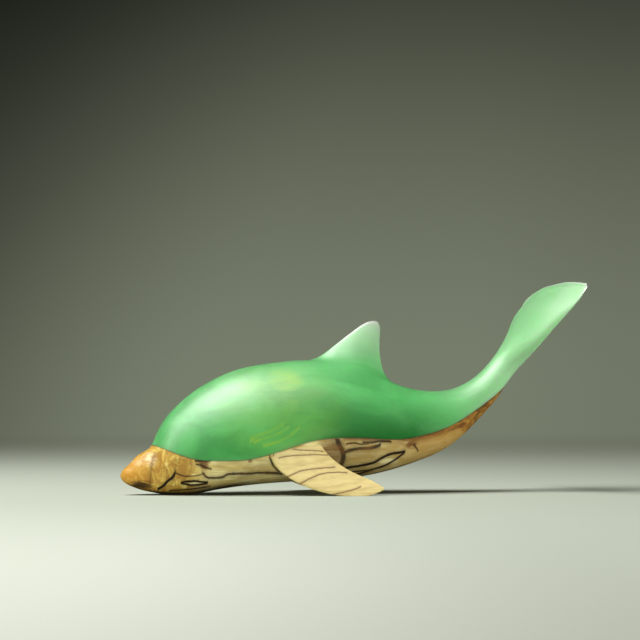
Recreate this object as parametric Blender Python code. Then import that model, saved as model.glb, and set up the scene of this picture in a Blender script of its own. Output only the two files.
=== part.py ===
"""A diving dolphin, carved from spalted wood and cast in resin on top of it.

Four pieces: a resin back with its fin, tail stalk and flukes, a wooden belly with the beak, and two
wooden flippers glued to its sides. The figure rests on its chin and on the edges of both flippers.
+X is towards the tail, +Z is up, and the floor is z = 0.
"""

import math

import bmesh
import bpy
import numpy as np

# Sizes in metres.
BODY_LENGTH = 0.2435  # from the tip of the beak to the notch between the flukes, measured level
UNIT = BODY_LENGTH / 1000  # places listed below are in thousandths of the length
BODY_WIDTH = 0.060
FLUKE_WIDTH = 0.100  # from tip to tip
FLUKE_REACH = 0.0032  # how far the lobes reach past the notch
FLUKE_DROOP = 0.0045  # how far the tips bend towards the belly side
FLUKE_ROLL = math.radians(2.4)  # the carved flukes are turned a little, with the left lobe up
FIN_RISE = 0.0258  # dorsal fin, above the line of the back
FIN_SPREAD = 0.0032  # the fin's sides fall away from its edge over this distance
FIN_EDGE = 0.0009  # radius of its edge
FLIPPER_LENGTH = 0.052
FLIPPER_THICKNESS = 0.0046
FLIPPER_SINK = 0.014  # how far a blade's surface runs on into the body, where its root is looked for
RIGHT_SET_BACK = 0.010  # the right flipper sits this much nearer the tail
GLUE_GAP = 0.0003
THIN_END = 0.0005  # least depth of the resin and of the wood where they taper out
CHEEK_GROOVE = 0.0017  # depth of the soft groove behind the beak
CHEEK_SWELL = 0.0016  # how far the round cheek after it stands out
SANDED_OFF = 0.0004  # taken off the flipper edges, so that they stand flat

# Cross-sections of the body, in thousandths of BODY_LENGTH: the point on the back (along, height) and
# the point on the belly (along, height). Then the half width, as a share of half BODY_WIDTH, or of
# half FLUKE_WIDTH from FLUKE_FROM on. The chin dips under the floor, where it is sanded flat.
SECTIONS = [
    ((-1, 40), (-1, 40), 0.00),  # tip of the beak
    ((3, 51), (4, 32), 0.09),
    ((16, 64), (15, 23), 0.175),
    ((35, 84), (33, 15), 0.265),
    ((55, 96), (52, 9), 0.335),
    ((70, 109), (71, 5), 0.40),  # crease above the beak
    ((81, 132), (86, 2), 0.46),
    ((99, 165), (104, 0), 0.545),
    ((121, 190), (125, -1), 0.64),
    ((152, 218), (153, -1), 0.745),  # chin
    ((200, 249), (200, 7), 0.865),
    ((260, 275), (260, 16), 0.955),
    ((337, 290), (337, 23), 1.00),
    ((440, 297), (440, 28), 0.99),
    ((530, 280), (530, 34), 0.93),
    ((610, 250), (610, 49), 0.82),
    ((680, 231), (690, 74), 0.68),
    ((740, 229), (757, 106), 0.54),
    ((792, 244), (822, 163), 0.42),
    ((836, 274), (872, 217), 0.33),
    ((867, 308), (905, 262), 0.30),  # thinnest place of the tail stalk
    ((897, 346), (939, 304), 0.36),
    ((927, 387), (964, 349), 0.62),
    ((953, 426), (984, 393), 0.82),
    ((978, 452), (998, 428), 0.945),
    ((991, 465), (1003, 451), 0.985),
    ((999, 470), (1003, 462), 0.955),
    ((999, 471), (1001, 467), 0.91),  # notch between the flukes
]
FLUKE_FROM = 21
GROOVE_AT, GROOVE_REACH = 4.9, 0.65  # where the groove lies, counted in sections, and how far it spreads
CHEEK_AT, CHEEK_REACH = 6.7, 0.95
FACE_HEIGHT, FACE_SPREAD = 0.45, 0.35  # both are deepest this share of the way up, and spread this much
NOTCH_HALF_WIDTH = 0.25  # of the notch between the flukes, as a share of half FLUKE_WIDTH
DROOP_POWER = 1.7
UPRIGHT_FROM, UPRIGHT_TO = 9, 16  # sections from one to the other stand nearly upright

# Height of the seam between wood and resin, in thousandths of BODY_LENGTH.
SEAM = [(50, 118), (68, 110), (100, 96), (145, 80), (200, 76), (270, 79), (330, 95), (405, 118),
        (470, 125), (550, 123), (610, 121), (680, 132), (745, 153), (800, 183), (850, 215),
        (900, 249), (960, 278)]

# The dorsal fin: its rise as a share of FIN_RISE over places along the back, before it leans back.
FIN_OUTLINE = [(425, 0.0), (444, 0.07), (470, 0.38), (491, 0.67), (508, 0.89), (521, 0.98),
               (533, 1.00), (545, 0.90), (554, 0.71), (566, 0.48), (581, 0.27), (598, 0.11),
               (615, 0.03), (635, 0.0)]
FIN_LEAN = 0.50  # how far it leans towards the tail for each unit of rise
ROUNDNESS = 0.92  # 1 gives elliptic sections, and less gives fuller ones

# A flipper's edges as Bezier curves in its own plane, in shares of FLIPPER_LENGTH: along its root, and
# out from its root. Both run to the tip.
LEADING_EDGE = [(-0.03, 0.00), (-0.03, 0.36), (0.50, 0.78), (0.86, 0.785)]
TRAILING_EDGE = [(0.50, 0.02), (0.50, 0.28), (0.68, 0.50), (0.90, 0.71)]
TIP_FROM = 0.8  # the tip is round from this share of the way along the edges
THINNING = 0.65  # share of its thickness that a flipper loses towards its tip
FLIPPER_ROOT = (323, 0.86, 79)  # front of the root: along, share of half BODY_WIDTH, height
ROOT_SLOPE = math.radians(21)

RESIN_RINGS, RESIN_POINTS = 74, (6, 7, 6)  # points from seam to widest place, to the fin, to its edge
FIN_FOOT = 3  # the fin's foot reaches this many times FIN_SPREAD to either side
WOOD_RINGS, WOOD_POINTS = 40, 11
FLIPPER_RINGS, FLIPPER_POINTS = 20, 14
FINER_AT_FLUKES = 2.5  # rings lie this many times closer there
ACROSS = 4  # points across the joint between wood and resin
SAMPLES = 80  # points along a curve before they are spaced evenly
HALVINGS = 40  # steps of each search by halving


def main():
    for old in list(bpy.data.objects):
        bpy.data.objects.remove(old, do_unlink=True)
    resin = material("green_resin", (0.06, 0.35, 0.13), roughness=0.32)
    spalted = material("spalted_wood", (0.50, 0.36, 0.16), roughness=0.50)
    pale = material("pale_wood", (0.72, 0.56, 0.31), roughness=0.50)
    middle = centre_along()

    back = tube("resin_back", resin_rings(GLUE_GAP / 2), middle)
    belly = tube("wood_belly", wood_rings(GLUE_GAP / 2), middle)
    floor = floor_cutter()
    hide(floor)
    finish(back, resin)
    cut(belly, floor)
    finish(belly, spalted)
    for name, side in (("left_flipper", -1), ("right_flipper", 1)):
        blade = tube(name, flipper_rings(side, GLUE_GAP), middle, capped=False)
        cut(blade, floor)
        finish(blade, pale)


def spline(points, at):
    """A natural cubic spline through (place, value) points, read at the places in at."""
    x, y = np.array(points, float).T
    gap = np.diff(x)
    slope = np.diff(y) / gap
    system = np.eye(len(x))
    right = np.zeros(len(x))
    for i in range(1, len(x) - 1):
        system[i, i - 1 : i + 2] = gap[i - 1], 2 * (gap[i - 1] + gap[i]), gap[i]
        right[i] = 6 * (slope[i] - slope[i - 1])
    bend = np.linalg.solve(system, right)
    i = np.clip(np.searchsorted(x, at) - 1, 0, len(gap) - 1)
    u = at - x[i]
    first = slope[i] - gap[i] * (2 * bend[i] + bend[i + 1]) / 6
    return y[i] + u * (first + u * (bend[i] / 2 + u * (bend[i + 1] - bend[i]) / (6 * gap[i])))


def half_widths():
    spans = [BODY_WIDTH] * FLUKE_FROM + [FLUKE_WIDTH] * (len(SECTIONS) - FLUKE_FROM)
    return [share * span / 2 for (_, _, share), span in zip(SECTIONS, spans)]


def sections_at(ring):
    """Back point, belly point and half width, in metres, at ring numbers counted in listed sections."""
    halves = half_widths()
    columns = np.array([(*top, *low, half / UNIT) for (top, low, _), half in zip(SECTIONS, halves)]).T
    middles = (columns[0:2] + columns[2:4]) / 2
    steps = np.hypot(*np.diff(middles)) + np.abs(np.diff(columns[4])) / 4
    places = np.concatenate([[0], np.cumsum(steps)])
    at = np.interp(ring, range(len(places)), places)
    read = [spline(list(zip(places, column)), at) * UNIT for column in columns]
    return np.stack(read[0:2], -1), np.stack(read[2:4], -1), np.maximum(read[4], 0)


def seam_share(top, low):
    """Where the seam crosses each section, as a share of the way from its belly point to its back point."""
    under, over = np.full(len(top), -0.8), np.full(len(top), 1.8)
    for _ in range(HALVINGS):
        share = (under + over) / 2
        x, z = (low + share[:, None] * (top - low)).T
        above = z > spline(SEAM, x / UNIT) * UNIT
        over = np.where(above, share, over)
        under = np.where(above, under, share)
    return share


def seam_angle(ring, gap):
    """Angle round each section at which the seam runs, moved up by gap."""
    top, low, _ = sections_at(ring)
    depth = np.maximum(np.hypot(*(top - low).T), 1e-9)
    return np.arcsin(2 * np.clip(seam_share(top, low) + gap / depth, 0, 1) - 1)


def spaced_rings(start, end, count):
    """Ring numbers spaced evenly along the outline of the back, fin and flukes."""
    ring = np.linspace(start, end, 40 * len(SECTIONS))
    top, low, half = sections_at(ring)
    rise = fin_height(top)
    x, z = top[:, 0] + FIN_LEAN * rise, top[:, 1] + rise
    middle = (top + low) / 2
    steps = np.hypot(np.diff(x), np.diff(z)) + np.hypot(*np.diff(middle, axis=0).T)
    steps = (steps + np.abs(np.diff(half))) * np.where(ring[1:] > FLUKE_FROM + 1, FINER_AT_FLUKES, 1)
    run = np.concatenate([[0], np.cumsum(steps)])
    return np.interp(np.linspace(0, run[-1], count), run, ring)


def ends_of(piece, gap):
    """First and last ring number at which a piece of the body has any depth."""
    ring = np.linspace(0, len(SECTIONS) - 1, 60 * len(SECTIONS))
    top, low, _ = sections_at(ring)
    depth = np.hypot(*(top - low).T)
    share = seam_share(top, low)
    if piece == "resin":
        return ring[np.argmax((1 - share) * depth > gap + THIN_END)], ring[-1]
    there = (share * depth > gap + THIN_END) | (top[:, 0] < BODY_LENGTH / 2)
    return 0.0, ring[np.argmin(there)]


def resin_rings(gap):
    """Rings of the resin: from the seam on the left, over the back, to the seam on the right and across."""
    ring = spaced_rings(*ends_of("resin", gap), RESIN_RINGS)
    return with_joint(arch(ring, seam_angle(ring, gap), RESIN_POINTS))


def wood_rings(gap):
    """Rings of the wood: from the seam on the left, under the belly, to the seam on the right and across."""
    ring = spaced_rings(*ends_of("wood", gap), WOOD_RINGS)
    seam = seam_angle(ring, -gap)
    belly = np.full(len(ring), -math.pi / 2)
    turn = np.linspace(0, 1, SAMPLES)[None, :]
    right = evened(skin(ring, seam[:, None] + (belly - seam)[:, None] * turn), WOOD_POINTS)
    return with_joint(rolled(ring, mirrored(right)))


def whole_rings():
    """Rings of the whole body, from the belly over the back to the belly."""
    ring = spaced_rings(0, len(SECTIONS) - 1, RESIN_RINGS + 10)
    return arch(ring, np.full(len(ring), -math.pi / 2), (12, 7, 6))[:, :-1]


def arch(ring, seam, counts):
    """Points from an angle on the left, over the back, to the same angle on the right. The widest place
    and the foot of the fin keep points of their own, so that no edge is cut off."""
    _, _, half = sections_at(ring)
    foot = np.arccos(np.clip(FIN_FOOT * FIN_SPREAD / np.maximum(half, 1e-9), 0, 0.7))
    foot = np.maximum(foot, seam + 0.6 * (math.pi / 2 - seam))
    widest = np.maximum(0, seam + 0.3 * (foot - seam))
    stops = [seam, widest, foot, np.full(len(ring), math.pi / 2)]
    turn = np.linspace(0, 1, SAMPLES)[None, :]
    parts = []
    for start, end, count in zip(stops, stops[1:], counts):
        part = evened(skin(ring, start[:, None] + (end - start)[:, None] * turn), count + 1)
        parts.append(part if end is stops[-1] else part[:, :-1])
    return rolled(ring, mirrored(np.concatenate(parts, axis=1)))


def mirrored(right):
    """A ring from its right half, which ends in the middle plane: left side first, then the right."""
    left = right * (1, -1, 1)
    return np.concatenate([left, right[:, -2::-1]], axis=1)


def with_joint(outer):
    """The outer points of a ring, then the points straight across the joint, back to the first."""
    across = np.linspace(0, 1, ACROSS + 2)[None, 1:-1, None]
    return np.concatenate([outer, outer[:, -1:] + (outer[:, :1] - outer[:, -1:]) * across], axis=1)


def skin(ring, angle):
    """Points of the right side at angles from -90 degrees, the belly, to 90 degrees, the back."""
    top, low, half = sections_at(ring)
    share = (np.sin(angle) + 1) / 2
    flat = low[:, None] + share[..., None] * (top - low)[:, None]
    y = (half[:, None] + cheeks(ring, share)) * fullness(share)
    from_edge = np.hypot(y, FIN_EDGE) - FIN_EDGE
    lift = fin_height(top)[:, None] * (share > 0.5) * np.exp(-from_edge / FIN_SPREAD)
    points = np.stack([flat[..., 0] + FIN_LEAN * lift, y, flat[..., 1] + lift], -1)
    return fluke_sweep(ring, points, top, low)


def fullness(share):
    """How wide a section is, a share of the way from its belly point to its back point: an ellipse, a
    little fuller."""
    return np.clip(4 * share * (1 - share), 0, 1) ** (ROUNDNESS / 2)


def outside_body(points, gap):
    """Whether points beside the flippers, where the sections stand upright, clear the body by gap."""
    ring = np.linspace(UPRIGHT_FROM, UPRIGHT_TO, 200)
    top, low, half = sections_at(ring)
    columns = (low[:, 1], (top - low)[:, 1], half)
    bottom, height, widest = (np.interp(points[..., 0], top[:, 0], v) for v in columns)
    share = np.clip((points[..., 2] - bottom) / height, 0, 1)
    return np.abs(points[..., 1]) > widest * fullness(share) + gap


def fin_height(top):
    """Rise of the dorsal fin above the given points of the back."""
    return FIN_RISE * np.clip(fin_rise(top[:, 0] / UNIT), 0, None)


def fin_rise(along):
    inside = (along > FIN_OUTLINE[0][0]) & (along < FIN_OUTLINE[-1][0])
    return np.where(inside, spline(FIN_OUTLINE, along), 0.0)


def cheeks(ring, share):
    """How far a soft groove behind the beak and a round cheek after it move the side outwards."""
    middle = np.exp(-(((share - FACE_HEIGHT) / FACE_SPREAD) ** 2))
    groove = np.exp(-(((ring[:, None] - GROOVE_AT) / GROOVE_REACH) ** 2))
    cheek = np.exp(-(((ring[:, None] - CHEEK_AT) / CHEEK_REACH) ** 2))
    return (CHEEK_SWELL * cheek - CHEEK_GROOVE * groove) * middle


def fluke_sweep(ring, points, top, low):
    """Draws the lobes past the notch, and bends their tips towards the belly side."""
    up = (top - low) / np.maximum(np.hypot(*(top - low).T), 1e-9)[:, None]
    back = np.stack([up[:, 1], -up[:, 0]], -1)
    out = np.abs(points[..., 1]) / (FLUKE_WIDTH / 2)
    opening = np.clip((ring - FLUKE_FROM + 3) / 5, 0, 1)[:, None]
    ramp = np.clip((ring - FLUKE_FROM - 1) / 5, 0, 1)[:, None] ** 2
    along = FLUKE_REACH * (1 - np.exp(-((out / NOTCH_HALF_WIDTH) ** 2)))
    drop = -FLUKE_DROOP * out**DROOP_POWER * opening
    moved = points.copy()
    for axis, place in ((0, 0), (2, 1)):
        moved[..., axis] += ramp * along * back[:, None, place] + drop * up[:, None, place]
    return moved


def rolled(ring, points):
    """Turns the flukes about the tail stalk by FLUKE_ROLL, more and more along their length."""
    turn = math.sin(FLUKE_ROLL) * np.clip((ring - FLUKE_FROM + 1) / 4, 0, 1)[:, None]
    moved = points.copy()
    moved[..., 2] -= points[..., 1] * turn
    return moved


def evened(points, count):
    """Each ring's points spaced evenly along it, count of them."""
    steps = np.linalg.norm(np.diff(points, axis=1), axis=2)
    run = np.concatenate([np.zeros((len(points), 1)), np.cumsum(steps, axis=1)], axis=1)
    out = np.empty((len(points), count, 3))
    for i, length in enumerate(run):
        at = np.linspace(0, length[-1], count)
        for axis in range(3):
            out[i, :, axis] = np.interp(at, length, points[i, :, axis])
    return out


def bezier(points, t):
    a, b, c, d = (np.array(p) for p in points)
    t = t[..., None]
    return a * (1 - t) ** 3 + 3 * b * t * (1 - t) ** 2 + 3 * c * t**2 * (1 - t) + d * t**3


def blade_edges(t):
    """Places of the leading and the trailing edge in the blade's plane, (along, out), at shares t."""
    return [bezier(edge, np.clip(t, 0, 1)) * FLIPPER_LENGTH for edge in (LEADING_EDGE, TRAILING_EDGE)]


def blade(t, turn, side):
    """Points on a flipper: t is 0 at the root's line, 1 at the tip and below 0 inside the body, and turn
    goes round its section."""
    x, share, z = FLIPPER_ROOT
    set_back = RIGHT_SET_BACK if side > 0 else 0.0
    root = np.array([x * UNIT + set_back, side * share * BODY_WIDTH / 2, z * UNIT])
    along = np.array([math.cos(ROOT_SLOPE), 0, math.sin(ROOT_SLOPE)])
    down = np.array([math.sin(ROOT_SLOPE), 0, -math.cos(ROOT_SLOPE)])
    # The blade is splayed just so far that its edge reaches the floor.
    edge = blade_edges(np.linspace(0.2, 1, 100))[0]
    steep = np.min((root[2] + SANDED_OFF + edge[:, 0] * along[2]) / (edge[:, 1] * -down[2]))
    splay = math.acos(min(steep, 1.0))
    out = down * math.cos(splay) + np.array([0, side * math.sin(splay), 0])
    normal = np.cross(along, out) * -side

    lead, trail = blade_edges(t)
    t, inside = np.clip(t, 0, 1), np.minimum(t, 0)
    tip = np.sqrt(1 - (np.clip(t - TIP_FROM, 0, 1) / (1 - TIP_FROM)) ** 2)
    flat = (lead + trail) / 2 + (lead - trail) * (np.cos(turn) / 2 * tip)[..., None]
    thick = FLIPPER_THICKNESS / 2 * np.sin(turn) * (1 - THINNING * t) * np.sqrt(1 - t**3)
    spread = flat[..., :1] * along + (flat[..., 1:] + inside[..., None] * FLIPPER_SINK) * out
    return root + spread + thick[..., None] * normal


def flipper_rings(side, gap):
    """Rings of a flipper, from the line along the middle of its root, which fits the body, to the tip."""
    turn = np.linspace(0, 2 * math.pi, FLIPPER_POINTS, endpoint=False)
    under, over = np.full(FLIPPER_POINTS, -1.0), np.full(FLIPPER_POINTS, 0.6)
    for _ in range(HALVINGS):
        root = (under + over) / 2
        clear = outside_body(blade(root, turn, side), gap)
        over = np.where(clear, root, over)
        under = np.where(clear, under, root)
    t = root + (1 - root) * np.sin(np.linspace(0, math.pi / 2, FLIPPER_RINGS))[:, None]
    rings = blade(t, turn + 0 * t, side)
    opposite = rings[0][-np.arange(FLIPPER_POINTS)]
    return np.concatenate([(rings[:1] + opposite) / 2, rings])


def centre_along():
    """Half way between the tip of the beak and the furthest point of the flukes."""
    rings = whole_rings()
    return (rings[..., 0].min() + rings[..., 0].max()) / 2


def tube(name, rings, middle, capped=True):
    """A closed mesh through rings of points. Ends that aren't a line or a point are capped."""
    count, around = rings.shape[:2]
    points = rings.reshape(-1, 3) - (middle, 0, 0)
    first = np.arange(count - 1)[:, None] * around + np.arange(around)[None, :]
    following = np.arange(count - 1)[:, None] * around + (np.arange(around)[None, :] + 1) % around
    quads = np.stack([first, following, following + around, first + around], -1).reshape(-1, 4)
    faces = [tuple(q) for q in quads.tolist()]
    if capped:
        faces.append(tuple(reversed(range(around))))
        faces.append(tuple(range((count - 1) * around, count * around)))
    mesh = bpy.data.meshes.new(name)
    mesh.from_pydata(points.tolist(), [], faces)
    made = bpy.data.objects.new(name, mesh)
    bpy.context.scene.collection.objects.link(made)
    weld(mesh)
    return made


def weld(mesh):
    work = bmesh.new()
    work.from_mesh(mesh)
    bmesh.ops.remove_doubles(work, verts=work.verts, dist=2e-6)
    bmesh.ops.dissolve_degenerate(work, edges=work.edges, dist=1e-6)
    bmesh.ops.triangulate(work, faces=[f for f in work.faces if len(f.verts) > 4])
    bmesh.ops.recalc_face_normals(work, faces=work.faces)
    work.to_mesh(mesh)
    work.free()


def floor_cutter():
    size = 2 * BODY_LENGTH
    corners = [(x, y, z) for x in (-size, size) for y in (-size, size) for z in (-size / 4, 0)]
    faces = [(0, 1, 3, 2), (4, 6, 7, 5), (0, 4, 5, 1), (2, 3, 7, 6), (0, 2, 6, 4), (1, 5, 7, 3)]
    mesh = bpy.data.meshes.new("floor_cutter")
    mesh.from_pydata(corners, [], faces)
    made = bpy.data.objects.new("floor_cutter", mesh)
    bpy.context.scene.collection.objects.link(made)
    weld(mesh)
    return made


def hide(cutter):
    cutter.hide_render = True
    cutter.display_type = "WIRE"


def cut(piece, cutter):
    step = piece.modifiers.new("cut_by_" + cutter.name, "BOOLEAN")
    step.operation = "DIFFERENCE"
    step.solver = "EXACT"
    step.object = cutter


def material(name, colour, roughness):
    made = bpy.data.materials.new(name)
    made.use_nodes = True
    shader = made.node_tree.nodes["Principled BSDF"]
    shader.inputs["Base Color"].default_value = (*colour, 1)
    shader.inputs["Roughness"].default_value = roughness
    shader.inputs["Metallic"].default_value = 0.0
    return made


def finish(piece, look):
    piece.data.materials.append(look)
    piece.data.shade_smooth()
    piece.data.set_sharp_from_angle(angle=math.radians(40))


main()
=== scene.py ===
"""The looks of a diving dolphin figurine, cast in cloudy green resin over a carved piece of spalted wood.

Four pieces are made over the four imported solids: the resin back with its fin and flukes, the wooden belly
with the beak, and two pale wooden flippers. +X is towards the tail, +Z is up, and the figure stands on
z = 0. Lengths are in metres, and colours are linear.
"""

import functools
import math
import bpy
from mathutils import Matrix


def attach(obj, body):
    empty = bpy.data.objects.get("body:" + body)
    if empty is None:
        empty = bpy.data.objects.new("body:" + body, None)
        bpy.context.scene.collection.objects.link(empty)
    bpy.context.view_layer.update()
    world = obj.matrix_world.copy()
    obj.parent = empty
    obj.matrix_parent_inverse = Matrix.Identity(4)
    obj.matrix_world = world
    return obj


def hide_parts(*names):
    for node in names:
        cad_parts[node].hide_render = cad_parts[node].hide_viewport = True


bl_info = {
    "name": "Dolphin figurine",
    "version": (1, 0, 0),
    "blender": (4, 5, 0),
    "location": "View3D > Sidebar > Dolphin",
    "description": "Models a resin and spalted wood dolphin and its studio",
    "category": "Add Mesh",
}

import bmesh
import bpy
import numpy as np
from bpy.props import FloatProperty, FloatVectorProperty, PointerProperty
from mathutils import Vector

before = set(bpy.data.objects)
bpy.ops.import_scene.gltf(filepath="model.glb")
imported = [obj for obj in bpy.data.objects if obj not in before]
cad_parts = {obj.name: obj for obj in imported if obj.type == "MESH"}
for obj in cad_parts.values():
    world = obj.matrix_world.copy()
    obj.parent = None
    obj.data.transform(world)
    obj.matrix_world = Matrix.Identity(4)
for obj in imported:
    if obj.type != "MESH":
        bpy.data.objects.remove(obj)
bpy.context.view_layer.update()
BODY = "root"
PHOTO_SIDE = 640  # the photograph's width and height in pixels

# Cross-sections of the body, in thousandths of its length: the point on the back (along, height) and the
# point on the belly (along, height). Then the half width, as a share of half the body's width, or of half
# the flukes' span from FLUKE_FROM on. A ring number counts sections from the first one, and may lie between
# two of them.
SECTIONS = [
    ((-1, 40), (-1, 40), 0.00),  # tip of the beak
    ((3, 51), (4, 32), 0.09),
    ((16, 64), (15, 23), 0.175),
    ((35, 84), (33, 15), 0.265),
    ((55, 96), (52, 9), 0.335),
    ((70, 109), (71, 5), 0.40),  # crease above the beak
    ((81, 132), (86, 2), 0.46),
    ((99, 165), (104, 0), 0.545),
    ((121, 190), (125, -1), 0.64),
    ((152, 218), (153, -1), 0.745),  # chin
    ((200, 249), (200, 7), 0.865),
    ((260, 275), (260, 16), 0.955),
    ((337, 290), (337, 23), 1.00),
    ((440, 297), (440, 28), 0.99),
    ((530, 280), (530, 34), 0.93),
    ((610, 250), (610, 49), 0.82),
    ((680, 231), (690, 74), 0.68),
    ((740, 229), (757, 106), 0.54),
    ((792, 244), (822, 163), 0.42),
    ((836, 274), (872, 217), 0.33),
    ((867, 308), (905, 262), 0.30),  # thinnest place of the tail stalk
    ((897, 346), (939, 304), 0.36),
    ((927, 387), (964, 349), 0.62),
    ((953, 426), (984, 393), 0.82),
    ((978, 452), (998, 428), 0.945),
    ((991, 465), (1003, 451), 0.985),
    ((999, 470), (1003, 462), 0.955),
    ((999, 471), (1001, 467), 0.91),  # notch between the flukes
]
FLUKE_FROM = 21
UPRIGHT_FROM, UPRIGHT_TO = 9, 16  # sections that stand nearly upright
LAST = len(SECTIONS) - 1

# Height of the seam between wood and resin over places along the body, in thousandths of its length.
SEAM = [(50, 118), (68, 110), (100, 96), (145, 80), (200, 76), (270, 79), (330, 95), (405, 118),
        (470, 125), (550, 123), (610, 121), (680, 132), (745, 153), (800, 183), (850, 215),
        (900, 249), (960, 278)]

# The dorsal fin: its rise as a share of its full rise over places along the back, before it leans back.
FIN_OUTLINE = [(425, 0.0), (444, 0.07), (470, 0.38), (491, 0.67), (508, 0.89), (521, 0.98),
               (533, 1.00), (545, 0.90), (554, 0.71), (566, 0.48), (581, 0.27), (598, 0.11),
               (615, 0.03), (635, 0.0)]
FIN_LEAN = 0.50
ROUNDNESS = 0.92  # 1 gives elliptic sections, and less gives fuller ones

# The face's relief, each with its centre and its reach: a share of the way up, then ring numbers.
FACE_MIDDLE = (0.45, 0.35)
GROOVE_BEHIND_BEAK = (4.9, 0.65)
CHEEK = (6.7, 0.95)

# Where things set in towards the tail: from this ring number, and in full after so many rings.
DROOP_RINGS = (18, 5)
REACH_RINGS = (22, 5)
ROLL_RINGS = (20, 4)
# The pale stalk and flukes stand partly for the lighter tint of thin resin and partly for painted light
# shining through it. The pale underside is painted light on the shaded lower side of the stalk and flukes,
# the pale rims are painted light shining through thin edges, and the fin's pale front is a painted
# highlight.
PALE_STALK_RINGS = (15.3, 4)
PAINTED_LIGHT_UNDERSIDE_RINGS = (17, 3)
PALE_FLUKE_RINGS = (18, 4)
LOBE_SPREAD = 0.25  # the notch opens over this share of half the flukes' span
FIN_RIM, FLUKE_RIM = 0.0016, 0.0018  # depth of the pale rims, in metres
FIN_FRONT_HIGHLIGHT = (545, 70)  # the fin is paler in front of this place along, over so far

# A flipper's edges as Bezier curves in its own plane, in shares of its length: along its root, and out.
LEADING_EDGE = [(-0.03, 0.00), (-0.03, 0.36), (0.50, 0.78), (0.86, 0.785)]
TRAILING_EDGE = [(0.50, 0.02), (0.50, 0.28), (0.68, 0.50), (0.90, 0.71)]
TIP_FROM = 0.8  # share of a flipper's length past which its end is rounded
FLIPPER_ROOT = (323, 0.86, 79)  # front of the root: along, share of half the body's width, height
ROOT_SLOPE = math.radians(21)

# Grids: rings along each piece and points round it.
RESIN_RINGS, RESIN_POINTS = 400, (26, 34, 28)
WOOD_RINGS, WOOD_POINTS = 400, 104
FLIPPER_RINGS, FLIPPER_POINTS = 170, 120
ACROSS = 6
FINER_AT_FLUKES = 2.0
TRIAL_RINGS = 3000  # rings tried, to find where a piece starts or ends
WOOD_SURELY_TO = 500  # the wood doesn't end before this place along the body
SAME_PLACE = 2e-6  # points closer than this, in metres, become one
TINY, LEAST_RUN = 1e-9, 1e-12  # lengths that stand in for none
SPACING_STEPS = 2400  # steps in which the spacing of the rings is worked out
HALVINGS = 40
SHARP_ANGLE = math.radians(50)

# Spalting lines on the belly: half width, then (along, height) points, all in thousandths of the body's
# length. The two sides of a loop share an end.
DARK_LINES = [
    (3.4, [(76, 12), (88, 22), (95, 31), (103, 38), (107, 45), (110, 52)]),
    (2.7, [(122, 27), (134, 30), (150, 31), (166, 29), (184, 27)]),
    (2.4, [(122, 27), (138, 24), (154, 22), (168, 23), (184, 27)]),
    (3.2, [(479, 54), (501, 59), (527, 62), (554, 68), (575, 81), (597, 89), (618, 91), (630, 94)]),
    (2.6, [(501, 36), (527, 42), (549, 50), (575, 58), (597, 68), (615, 81), (630, 94)]),
    (1.8, [(496, 46), (520, 49), (545, 51), (560, 52)]),
]
BROWN_LINES = [
    (3.0, [(163, 54), (172, 45), (186, 38), (207, 38), (228, 46), (264, 47), (312, 49), (350, 44)]),
    (1.3, [(108, 50), (122, 45), (140, 42), (158, 44), (170, 49)]),
    (2.2, [(147, 75), (160, 77), (172, 77), (182, 76)]),
    (1.9, [(149, 70), (160, 67), (172, 62), (186, 57)]),
    (1.8, [(100, 9), (130, 12), (165, 15), (192, 19)]),
    (2.0, [(309, 88), (315, 76), (325, 62), (341, 49)]),
    (1.2, [(317, 90), (322, 79), (330, 68), (338, 60)]),
    (4.2, [(474, 90), (492, 97), (512, 100), (534, 101), (552, 105), (566, 112)]),
    (2.0, [(482, 108), (500, 113), (520, 110), (538, 114)]),
    (2.6, [(520, 116), (540, 114), (560, 117), (590, 116)]),
    (1.6, [(645, 110), (651, 104), (656, 99), (661, 94)]),
]

# Two upright lines, with (height, along) points: painted shade in the groove behind the beak, and a band
# behind the flipper.
GROOVE_SHADE_LINE = (2.6, [(4, 68), (20, 61), (45, 59), (70, 63), (96, 72)])
UPRIGHT_BAND = (6.0, [(56, 473), (68, 478), (80, 480), (94, 476), (108, 468), (124, 460)])

# Thin lines on the flippers, as (along, height) points again, in the left one's place.
FLIPPER_TRACES = [
    (1.2, [(358, 101), (380, 99), (400, 98), (430, 96)]),
    (1.2, [(328, 80), (351, 86), (375, 88), (405, 89), (440, 88)]),
    (1.5, [(340, 37), (352, 45), (375, 54), (400, 58), (450, 62)]),
    (1.4, [(366, 24), (380, 32), (394, 39), (427, 49), (475, 50)]),
    (1.3, [(428, 1), (440, 4), (455, 7), (479, 13), (500, 21)]),
]

# Yellow wisps inside the resin, the same way.
WISPS = [
    (4.4, [(262, 116), (276, 127), (298, 136), (322, 147), (340, 156)]),
    (3.8, [(270, 113), (288, 122), (312, 129), (336, 141), (352, 152)]),
    (3.4, [(290, 106), (312, 112), (338, 122), (362, 138), (376, 152)]),
]

# Soft spots, each with its centre (along, height), its radii and its strength.
YELLOW_GLOWS = [
    ((350, 250), (56, 34), 0.85),
    ((350, 200), (44, 42), 0.5),
    ((285, 238), (60, 22), 0.5),
    ((335, 185), (180, 130), 0.32),
]
# Pale pink flecks high on the beak, which also paint the highlight on top of the beak.
ROSY_FLECKS_AND_HIGHLIGHT = [((61, 77), (17, 19), 1.0), ((36, 70), (14, 9), 0.4)]
PALE_LOOPS = [((154, 26), (22, 3.5), 1.0), ((590, 72), (34, 8), 0.8)]
CHEEK_SHADE = ((84, 44), (22, 40), 0.22)
BEAK_STREAKS = ((40, 21), (34, 15), 0.9)
SEAM_SPOT = ((268, 76), (7, 6), 0.8)
FLIPPER_SHADE = ((448, 96), (44, 40), 1.0)
REAR_SMUDGE = ((642, 108), (20, 12), 1.0)

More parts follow.
